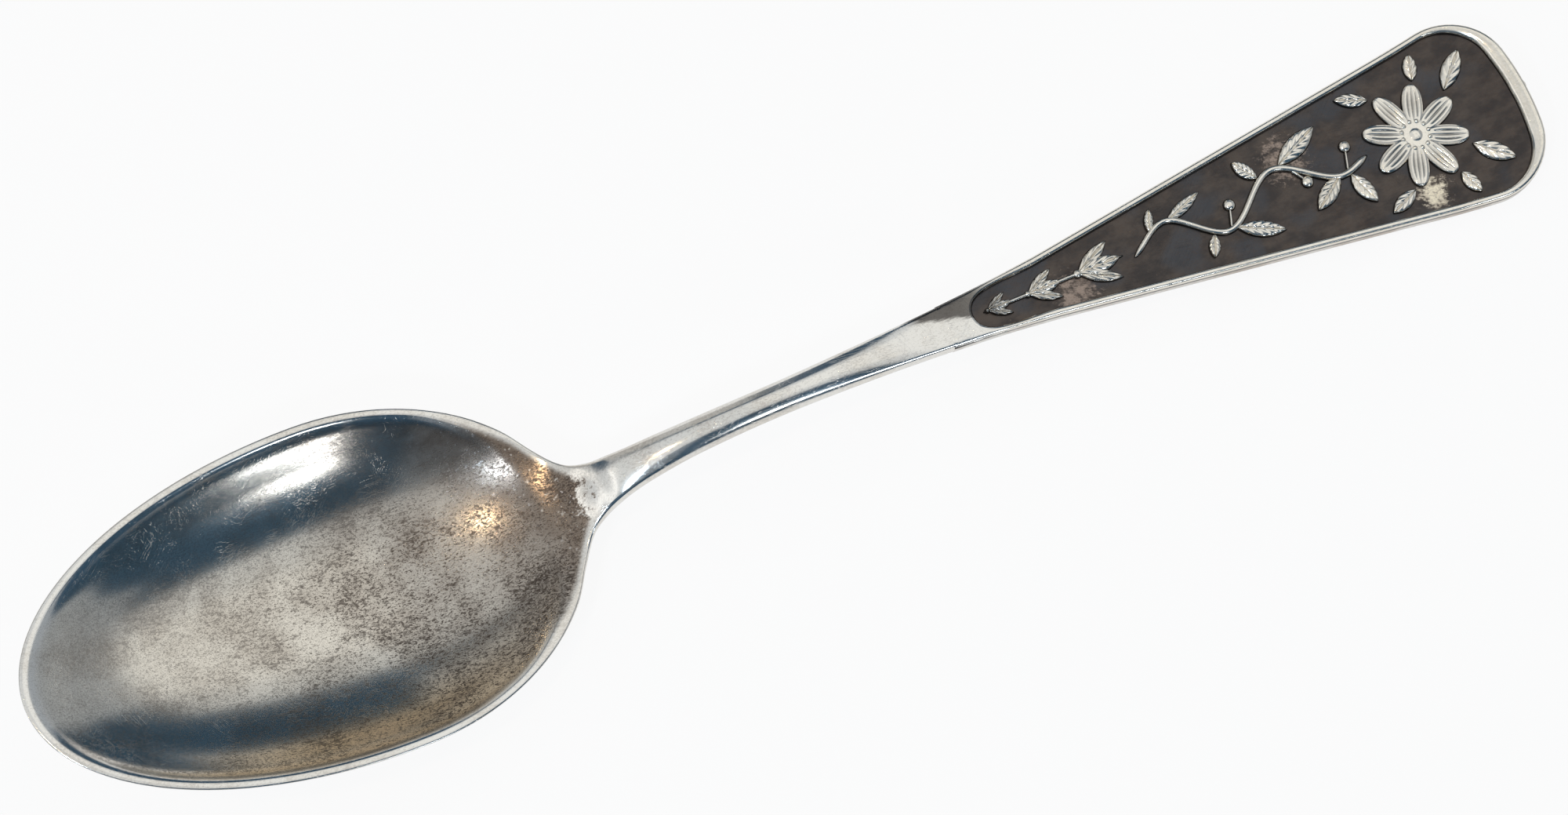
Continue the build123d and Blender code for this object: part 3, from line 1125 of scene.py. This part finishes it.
def scratches_group():
    """Fine wiped scratches in three directions; 1 in a scratch, 0 beside it."""
    group, given, result = new_group("hairline_scratches", [("Place", "NodeSocketVector")], ["Scratches"])
    place = given.outputs["Place"]
    total = 0.0
    for turn, scale in scratch_sets:
        lines = noise(group, stretched(group, place, scale, turn), 1.0, 2.0, 0.5)
        near = calculate(group, "ABSOLUTE", minus(group, lines, 0.5))
        hair = step_between(group, near, hair_width, 0.0)
        rare = step_between(group, noise(group, place, 0.3 + 0.1 * turn, 1.0), 0.5, 0.62)
        total = calculate(group, "MAXIMUM", times(group, hair, rare), total)
    group.links.new(total, result.inputs["Scratches"])
    return group


# %% [markdown]
# ### Flecks, patches and grain of tarnish
#
# Tarnish on silver is not even: wide soft clouds, and in them many small dark flecks that follow
# the direction of wiping. One wide noise gives the clouds. The same clouds lower the edge above
# which two finer noises count as a fleck, so flecks gather where a patch is.

# %% Group: flecks and patches of tarnish
fleck_stretch = (0.55, 1.0, 1.0)
fleck_turn = 0.12
fleck_layers = ((2.6, 6.0), (7.0, 2.0))     # scale and detail
fleck_edge, fleck_gathering = 0.66, 0.27


def tarnish_group():
    """Flecks along the length, soft patches, and a very fine grain."""
    inputs = [("Place", "NodeSocketVector")]
    group, given, result = new_group("tarnish_masks", inputs, ["Flecks", "Patches", "Grain"])
    place = given.outputs["Place"]
    along = stretched(group, place, fleck_stretch, fleck_turn)
    cloud = noise(group, place, 0.16, 3.0, 0.55)
    edge = minus(group, fleck_edge, times(group, cloud, fleck_gathering))
    flecks = 0.0
    for scale, detail in fleck_layers:
        layer = minus(group, noise(group, along, scale, detail, 0.78), edge)
        flecks = calculate(group, "MAXIMUM", times(group, layer, 10.0, True), flecks)
    group.links.new(flecks, result.inputs["Flecks"])
    group.links.new(step_between(group, cloud, 0.36, 0.64), result.inputs["Patches"])
    group.links.new(noise(group, place, 9.0, 3.0, 0.7), result.inputs["Grain"])
    return group


scratch_masks = scratches_group()
tarnish_masks = tarnish_group()
print("node groups", scratch_masks.name, tarnish_masks.name)

# %% [markdown]
# ## The finishes
#
# Silver is *metallic* 1, and its base colour is the colour of its reflections. Tarnish is a film
# that first yellows it, then browns it, and also makes it rougher. Every finish below starts in
# the same way, from millimetre coordinates and the shared masks. In them X runs along the spoon
# from the middle of its length, Y points to its far side and Z is the height.

# %% Start and end of every finish
bright = (0.82, 0.805, 0.765)
film = (0.62, 0.545, 0.45)
brown = (0.16, 0.115, 0.085)
black = (0.030, 0.024, 0.022)
fine_bump = 0.01 * MM
ground_bump = 0.02 * MM


def start_finish(name):
    """Material with its shader, its place in millimetres and the shared masks."""
    material = bpy.data.materials.get(name) or bpy.data.materials.new(name)
    material.use_nodes = True
    tree = material.node_tree
    shader = tree.nodes["Principled BSDF"]
    shader.inputs["Metallic"].default_value = 1.0
    coordinates = tree.nodes.new("ShaderNodeTexCoord").outputs["Object"]
    inputs = {0: coordinates, "Scale": 1 / MM}
    place = add_node(tree, "ShaderNodeVectorMath", inputs, operation="SCALE").outputs[0]
    scratches = add_node(tree, "ShaderNodeGroup", {}, node_tree=scratch_masks)
    tarnish = add_node(tree, "ShaderNodeGroup", {}, node_tree=tarnish_masks)
    for masks in (scratches, tarnish):
        tree.links.new(place, masks.inputs["Place"])
    return material, tree, shader, place, scratches.outputs[0], tarnish.outputs


def kept(tree, name):
    """Value of an attribute of the vertices."""
    return add_node(tree, "ShaderNodeAttribute", {}, attribute_name=name).outputs["Fac"]


def end_finish(tree, shader, colour, roughness, height, strength, distance):
    """Links the colour, the roughness and the bump."""
    tree.links.new(colour, shader.inputs["Base Color"])
    tree.links.new(roughness, shader.inputs["Roughness"])
    inputs = {"Height": height, "Strength": strength, "Distance": distance}
    bump = add_node(tree, "ShaderNodeBump", inputs)
    tree.links.new(bump.outputs[0], shader.inputs["Normal"])


# %% [markdown]
# ### Colour of worn silver
#
# The rim, the stem, the border and the relief are handled and wiped, so they stay bright under a
# thin warm haze. One streak of black patina is left where the panel begins, on the stem's far
# side. It is bounded along all three axes, and a stretched noise frays it.

# %% Colour of worn silver
patina_side = (5.9, 6.7)    # mm across the spoon, after the fraying and the slant
patina_fray = 2.4
patina_slant = 0.34
patina_start = (5.0, 11.0)
patina_end = (20.0, 16.5)
patina_height = (5.9, 6.6)


def worn_colour(tree, place, tarnish):
    """Bright silver with a thin film, a few flecks, and patina left beside the panel."""
    haze = step_between(tree, tarnish["Patches"], 0.0, 1.0, 0.06, 0.3)
    colour = mixed(tree, haze, bright, film)
    colour = mixed(tree, times(tree, tarnish["Flecks"], 0.2), colour, brown)
    x, y, z = along_axes(tree, place)
    streaks = noise(tree, stretched(tree, place, (0.3, 1.6, 1.0)), 1.0, 6.0, 0.7)
    beside = plus(tree, y, times(tree, streaks, patina_fray))
    beside = plus(tree, beside, times(tree, x, patina_slant))
    left = times(tree, step_between(tree, beside, *patina_side), step_between(tree, x, *patina_start))
    left = times(tree, left, step_between(tree, x, *patina_end))
    left = times(tree, left, step_between(tree, z, *patina_height))
    return mixed(tree, times(tree, left, 0.85), colour, black)


# %% [markdown]
# ### The bowl's silver
#
# Food and air have tarnished the hollow: it has lost its shine and is yellowish, browner towards
# the heel, and sprinkled with dark flecks that thin out on the far side. Along the near wall a
# warm yellow is a painted reflection of the far wall. The rim and the neck are worn bright.
# The attribute *inside* divides the two, and ragged edges come from adding noise to a distance
# before the step. Flecks and grain also raise the roughness, so the reflections are soft.

# %% Colours and reaches in the bowl
dull_pale, dull_deep = (0.77, 0.725, 0.64), (0.62, 0.57, 0.495)
painted_reflection_yellow = (0.78, 0.60, 0.38)
# warm yellow of a painted reflection on the near wall
dull_brown = (0.43, 0.375, 0.32)
dull_grain = (0.26, 0.235, 0.21)
fleck_brown = (0.075, 0.058, 0.048)
chip_grey = (0.5, 0.46, 0.42)
ragged_reach = 9.0          # mm by which noise moves the ragged edges
heel_slant = 0.5
heel_stain = (41.0, 51.0)   # stations between which each of these grows
clean_neck = (51.2, 52.2)
fleck_growth = (4.0, 38.0, 0.4, 1.0)
browning = (24.0, 58.0)
etching = (28.0, 44.0, 0.0, 0.06)
fleck_thinning = (2.0, 11.0, 1.0, 0.35)     # mm from the middle to the far side
# the near wall carries the painted reflection over this reach
painted_reflection_side = (-8.5, -12.5)                 # and to the near side


# %% Bowl: tarnished inside, worn bright on the rim and the neck
def bowl_finish():
    """Silver with flecks inside, a brown patch at the heel, a painted yellow reflection on the near wall
    and a bright rim.
    """
    material, tree, shader, place, scratches, tarnish = start_finish("bowl_silver")
    x, y = along_axes(tree, place)[:2]
    flecks, patches, grain = tarnish["Flecks"], tarnish["Patches"], tarnish["Grain"]
    station = minus(tree, x, tip_x / MM)
    ragged = noise(tree, stretched(tree, place, (0.6, 1, 1)), 0.9, 6.0, 0.7)
    shift = times(tree, minus(tree, ragged, 0.5), ragged_reach)
    ragged_station = plus(tree, station, shift)
    heel_reach = plus(tree, ragged_station, times(tree, y, heel_slant))

    tarnished = minus(tree, 1.0, step_between(tree, ragged_station, *clean_neck))
    heel = times(tree, step_between(tree, heel_reach, *heel_stain), kept(tree, "inside"))
    heel = times(tree, heel, tarnished)
    inside = times(tree, kept(tree, "inside"), tarnished)
    fewer = step_between(tree, y, *fleck_thinning)
    flecks = times(tree, flecks, times(tree, step_between(tree, station, *fleck_growth), fewer))
    flecks = times(tree, flecks, inside)

    dull_and_reflected = mixed(tree, patches, dull_pale, dull_deep)
    # painted reflection: the near wall is yellowed where it mirrors the warm far wall
    dull_and_reflected = mixed(tree, times(tree, step_between(tree, y, *painted_reflection_side), 0.7), dull_and_reflected, painted_reflection_yellow)
    browned = plus(tree, heel_reach, times(tree, patches, ragged_reach))
    dull_and_reflected = mixed(tree, step_between(tree, browned, *browning), dull_and_reflected, dull_brown)
    dull_and_reflected = mixed(tree, step_between(tree, grain, 0.42, 0.66, 0.0, 0.45), dull_and_reflected, dull_grain)
    colour = mixed(tree, inside, worn_colour(tree, place, tarnish), dull_and_reflected)
    colour = mixed(tree, times(tree, heel, 0.8), colour, brown)
    colour = mixed(tree, times(tree, flecks, 0.95), colour, fleck_brown)
    chips = step_between(tree, noise(tree, place, 2.1, 3.0, 0.6), 0.62, 0.67)
    colour = mixed(tree, times(tree, chips, heel), colour, chip_grey)

    roughness = plus(tree, times(tree, flecks, 0.2), 0.1)
    roughness = plus(tree, roughness, times(tree, fewer, 0.04))
    roughness = plus(tree, roughness, times(tree, grain, 0.07))
    etched = step_between(tree, ragged_station, *etching)
    roughness = plus(tree, roughness, times(tree, etched, inside))
    worn = plus(tree, times(tree, scratches, 0.6), times(tree, flecks, 0.7))
    height = minus(tree, times(tree, grain, 0.12), worn)
    end_finish(tree, shader, colour, roughness, height, 0.3, fine_bump)
    return material


# %% [markdown]
# ### Silver of the stem, the border and the relief
#
# All three are the worn silver. On the border and the relief the feet are painted black: partly
# the oxide that polish never reaches, partly painted shade in the recesses. Their rise over the
# ground is an attribute, and the colour goes from black to bright along it. Towards the handle's
# end they are a little warmer.

# %% Stem, border and relief: worn bright
warm = (0.90, 0.83, 0.70)
warming = (14.0, 26.0, 0.0, 0.45)


def worn_finish(name, oxide_and_shade_rise):
    """Bright worn silver; where a rise is given, the feet below it are painted black, as oxide and as
    painted shade.
    """
    material, tree, shader, place, scratches, tarnish = start_finish(name)
    grain = tarnish["Grain"]
    colour = worn_colour(tree, place, tarnish)
    if oxide_and_shade_rise:
        x = along_axes(tree, place)[0]
        colour = mixed(tree, step_between(tree, x, *warming), colour, warm)
        rise = plus(tree, kept(tree, "rise"), times(tree, grain, 0.12))
        # black at the feet: partly oxide left in the hollows, partly painted shade in the recesses
        colour = mixed(tree, step_between(tree, rise, oxide_and_shade_rise, 0.2), colour, black)
    roughness = plus(tree, times(tree, grain, 0.07), 0.15)
    height = minus(tree, times(tree, grain, 0.12), scratches)
    end_finish(tree, shader, colour, roughness, height, 0.4, fine_bump)
    return material


# %% [markdown]
# ### The panel's oxidised silver
#
# The ground was blackened on purpose, so that the relief stands out. It isn't one black: it
# varies from brown to bluish, and in a few places it is rubbed through to a pinkish brown, and
# once through to the metal, whose warm cream colour is partly a painted glint. Those places are
# given by a centre and a reach, and noise breaks them up.
# The attribute *ground* divides it from the wall and the back, which are worn silver that
# carries more tarnish towards the handle's end.

# %% Colours and places on the panel
ground_black, ground_brown = (0.056, 0.051, 0.050), (0.100, 0.084, 0.074)
ground_blue = (0.07, 0.075, 0.085)
ground_fleck = (0.09, 0.06, 0.045)
rubbed_brown = (0.40, 0.32, 0.27)
bare_silver_glint = (0.86, 0.78, 0.62)
wall_tarnish = (0.42, 0.33, 0.25)
rubbed_places = (           # centre and reach, mm
    ((50.5, 2.6, 2.8), 4.6),
    ((26.0, -1.6, 5.5), 4.2),
    # in its middle this place is worn through to metal, painted warm as a glint
    ((62.4, -5.8, 1.6), 3.4),   # the last one is bare in its middle
)
bare_glint_reach = (2.6, 1.0)
wall_darkening = (13.0, 34.0)


# %% Panel: oxidised ground, tarnished wall and back
def ground_finish():
    """Brown-black ground, worn through in patches, one with a painted warm glint, on a plate with a
    tarnished wall and back.
    """
    material, tree, shader, place, scratches, tarnish = start_finish("oxidised_silver")
    x = along_axes(tree, place)[0]
    tint = noise(tree, stretched(tree, place, (0.6, 1.0, 1.0)), 0.55, 6.0, 0.62)
    dark = mixed(tree, step_between(tree, tint, 0.36, 0.68), ground_black, ground_brown)
    tint = noise(tree, place, 0.22, 1.0)
    dark = mixed(tree, step_between(tree, tint, 0.5, 0.66, 0.0, 0.7), dark, ground_blue)

    broken = noise(tree, stretched(tree, place, (0.8, 1.2, 1), 0.3), 1.3, 8.0, 0.78)
    near = 0.0
    for centre, reach in rubbed_places:
        apart = add_node(tree, "ShaderNodeVectorMath", {0: place, 1: centre}, operation="DISTANCE")
        near = calculate(tree, "MAXIMUM", step_between(tree, apart.outputs["Value"], reach, 0.0), near)
    rubbed = minus(tree, plus(tree, broken, times(tree, near, 0.3)), 0.66)
    rubbed = times(tree, rubbed, 7.0, True)
    dark = mixed(tree, times(tree, rubbed, 0.8), dark, rubbed_brown)
    # painted glint: the middle of the last place is worn-through metal in a warm cream colour
    bare_glint = times(tree, step_between(tree, apart.outputs["Value"], *bare_glint_reach), rubbed)
    dark = mixed(tree, bare_glint, dark, bare_silver_glint)
    dark = mixed(tree, times(tree, tarnish["Flecks"], 0.25), dark, ground_fleck)

    darkened = step_between(tree, tarnish["Patches"], 0.0, 1.0, 0.2, 0.6)
    darkened = times(tree, darkened, step_between(tree, x, *wall_darkening))
    wall = mixed(tree, darkened, worn_colour(tree, place, tarnish), wall_tarnish)
    wall = mixed(tree, times(tree, tarnish["Flecks"], 0.25), wall, brown)
    colour = mixed(tree, kept(tree, "ground"), wall, dark)
    roughness = plus(tree, times(tree, tarnish["Grain"], 0.18), 0.24)
    grain = noise(tree, place, 5.0, 4.0, 0.7)
    height = minus(tree, grain, times(tree, scratches, 0.4))
    end_finish(tree, shader, colour, roughness, height, 0.6, ground_bump)
    return material


# %% Make the five finishes
finishes = {
    "bowl_silver": bowl_finish(),
    "stem_silver": worn_finish("stem_silver", 0),
    # border and relief: below these rises the feet are painted black, as oxide and as painted shade
    "border_silver": worn_finish("border_silver", 0.6),
    "relief_silver": worn_finish("relief_silver", 0.8),
    "oxidised_silver": ground_finish(),
}
print("finishes", ", ".join(finishes))

# %% [markdown]
# ## Join the pieces to the frame
#
# Each piece rides on the frame's one body, stands for its CAD nodes and takes its finish from
# the slot given for it in the table below.

# %% Ride, replace, slot
dressed = [
    (bowl, "bowl", "bowl_silver"),
    (stem, "stem", "stem_silver"),
    (panel, "panel", "oxidised_silver"),
    (border, "border", "border_silver"),
    (blossom, "blossom", "relief_silver"),
    (leaf_spray, "leaf_spray", "relief_silver"),
    (vine, "vine", "relief_silver"),
    (bellflowers, "bellflowers", "relief_silver"),
]
for piece, node, slot in dressed:
    piece.data.materials.clear()
    piece.data.materials.append(finishes[slot])
    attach(piece, "root")
    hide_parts(node)
    print(piece.name, "stands for", node)

# %% [markdown]
# ## Camera
#
# The spoon lies at a slant in a wide frame, seen from above over its bowl. The camera stands
# a third of a metre away, so the near end is only slightly larger than the far one. It is
# placed by two angles and a distance from the point that it looks at, and then rolled.

# %% Camera
camera_azimuth = math.radians(-34.58)
camera_elevation = math.radians(73.93)
camera_roll = math.radians(9.66)
camera_distance = 319.7 * MM
look_at = Vector((-3.3, -0.43, 6.0)) * MM
sensor_width = 36
focal_length = 81
away = Vector((
    math.sin(camera_azimuth) * math.cos(camera_elevation),
    -math.cos(camera_azimuth) * math.cos(camera_elevation),
    math.sin(camera_elevation),
))
camera_data = bpy.data.cameras.new("camera")
camera_data.sensor_width = sensor_width
camera_data.lens = focal_length
camera_data.clip_start = 10 * MM
camera = bpy.data.objects.new("camera", camera_data)
bpy.context.collection.objects.link(camera)
turn = away.to_track_quat("Z", "Y").to_matrix() @ Matrix.Rotation(camera_roll, 3, "Z")
camera.matrix_world = Matrix.Translation(look_at + away * camera_distance) @ turn.to_4x4()
bpy.context.scene.camera = camera
print("camera at", [round(value, 3) for value in camera.location])

# %% [markdown]
# ## Studio
#
# Polished metal shows the room more than itself, so the room is what is modelled. The bowl,
# being hollow, shows all of it upside down, and the handle and the stem each show a part.
#
# The *world* is dim and bluish for reflections and light, so the bowl keeps its dark blue
# sides. For camera rays alone it is a pale backdrop, whose strength of 1 adds no light.

# %% World
room_blue, room_strength = (0.2, 0.45, 0.76, 1), 0.17
backdrop_colour = (0.97, 0.97, 0.97, 1)
scene = bpy.context.scene
scene.view_settings.view_transform = "Standard"
world = bpy.data.worlds.new("studio")
scene.world = world
world.use_nodes = True
room = world.node_tree
surroundings = room.nodes["Background"]
surroundings.inputs["Color"].default_value = room_blue
surroundings.inputs["Strength"].default_value = room_strength
backdrop = room.nodes.new("ShaderNodeBackground")
backdrop.inputs["Color"].default_value = backdrop_colour
camera_ray = room.nodes.new("ShaderNodeLightPath").outputs["Is Camera Ray"]
inputs = {0: camera_ray, 1: surroundings.outputs[0], 2: backdrop.outputs[0]}
background = add_node(room, "ShaderNodeMixShader", inputs)
room.links.new(background.outputs[0], room.nodes["World Output"].inputs["Surface"])
print("world", world.name)

# %% [markdown]
# ### Lamps
#
# Each lamp is a rectangle, and is both light and the thing that is mirrored. A wide ceiling, a
# skylight and a far wall make the broad pale reflections of the handle, the stem and the bowl's
# floor, and pale cards stand on the other sides. One small bright window, with a bluish glow
# round it, gives the bowl's highlight, and two small lamps give the glints at its heel.
#
# A lamp's colour and *radiance* say how it looks in a mirror, whatever its size, so the energy is
# worked out from them. Where two lamps overlap in a reflection, they add up.

# %% Lamps
def panel_lamp(name, location, size, radiance, colour, target=(0, 0, 0)):
    """Rectangular lamp that faces a point."""
    data = bpy.data.lights.new(name, "AREA")
    data.shape = "RECTANGLE"
    data.size, data.size_y = size
    data.energy = radiance * math.pi * size[0] * size[1]
    data.color = colour
    lamp = bpy.data.objects.new(name, data)
    bpy.context.collection.objects.link(lamp)
    lamp.location = location
    lamp.rotation_euler = (Vector(location) - Vector(target)).to_track_quat("Z", "Y").to_euler()


def in_direction(azimuth, elevation, distance):
    """Place at a distance from the origin in a direction given in degrees."""
    azimuth, elevation = math.radians(azimuth), math.radians(elevation)
    flat = distance * math.cos(elevation)
    return flat * math.cos(azimuth), flat * math.sin(azimuth), distance * math.sin(elevation)


overhead = (                # these face straight down
    ("ceiling", (-0.275, 0.27, 0.7), (2.45, 1.3), 0.70, (1.0, 0.975, 0.93)),
    ("skylight", (0.55, 0.2, 0.68), (0.8, 0.7), 0.22, (1.0, 0.93, 0.80)),
)
around = (                  # and these face the spoon
    ("far_wall", (-1, 17, 1.3), (1.52, 0.9), 0.34, (1.0, 0.98, 0.95)),
    ("near_card", (-122, 44, 0.8), (0.45, 0.5), 0.16, (1.0, 0.97, 0.93)),
    ("window_glow", (-69, 33, 0.8), (0.27, 0.2), 0.16, (0.32, 0.62, 1.0)),
    ("window", (-74, 28, 0.7), (0.15, 0.075), 10.0, (0.90, 0.95, 1.0)),
    ("side_card", (172, 22, 1.2), (0.8, 0.5), 0.6, (1.0, 0.97, 0.93)),
    ("back_card", (106, 15, 1.1), (1.1, 0.6), 0.5, (1.0, 0.92, 0.8)),
    ("small_lamp", (-149, 45, 0.6), (0.07, 0.06), 45.0, (0.66, 0.82, 1.0)),
    ("warm_lamp", (-178, 69, 0.6), (0.03, 0.03), 110.0, (1.0, 0.78, 0.5)),
)
for name, place, size, radiance, colour in overhead:
    panel_lamp(name, place, size, radiance, colour, (*place[:2], 0))
for name, direction, size, radiance, colour in around:
    panel_lamp(name, in_direction(*direction), size, radiance, colour)
print(len(overhead) + len(around), "lamps")

# %% [markdown]
# ### Floor
#
# The floor is a plane of pale paper. For camera rays a share of it is plain white, and for the
# rays that metal mirrors a little less, so the background is white without more light on the
# spoon. The rest is lit as paper is, which keeps the spoon's shadow.

# %% Floor
floor_size = 6.0
white_share = 0.9
mirrored_share = 0.8
bpy.ops.mesh.primitive_plane_add(size=floor_size)
floor = bpy.context.object
floor.name = "floor"
floor_finish = bpy.data.materials.new("floor_paper")
floor_finish.use_nodes = True
paper = floor_finish.node_tree
paper_shader = paper.nodes["Principled BSDF"]
paper_shader.inputs["Roughness"].default_value = 0.9
paper_shader.inputs["Specular IOR Level"].default_value = 0.1
coordinates = paper.nodes.new("ShaderNodeTexCoord").outputs["Object"]
paper_colour = mixed(paper, noise(paper, coordinates, 60.0, 4.0), (0.86, 0.86, 0.86), (0.9, 0.9, 0.9))
paper.links.new(paper_colour, paper_shader.inputs["Base Color"])
rays = paper.nodes.new("ShaderNodeLightPath").outputs
mirrored = calculate(paper, "MAXIMUM", rays["Is Glossy Ray"], rays["Is Transmission Ray"])
shown = calculate(paper, "MAXIMUM", rays["Is Camera Ray"], times(paper, mirrored, mirrored_share))
white = paper.nodes.new("ShaderNodeEmission")
inputs = {0: times(paper, shown, white_share), 1: paper_shader.outputs[0], 2: white.outputs[0]}
surface = add_node(paper, "ShaderNodeMixShader", inputs)
paper.links.new(surface.outputs[0], paper.nodes["Material Output"].inputs["Surface"])
floor.data.materials.append(floor_finish)
floor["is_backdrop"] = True
print("floor", floor_size, "m wide")

# %% [markdown]
# ## Size and finish
#
# The dressed spoon is meant to keep the measured size, so how far it passes the CAD's box is printed.

# %% Sizes, and the end
dressed_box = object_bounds()
for axis in range(3):
    apart = [round((dressed_box[end][axis] - cad_box[end][axis]) / MM, 3) for end in (0, 1)]
    print("xyz"[axis], "is past the CAD box by", apart, "mm")
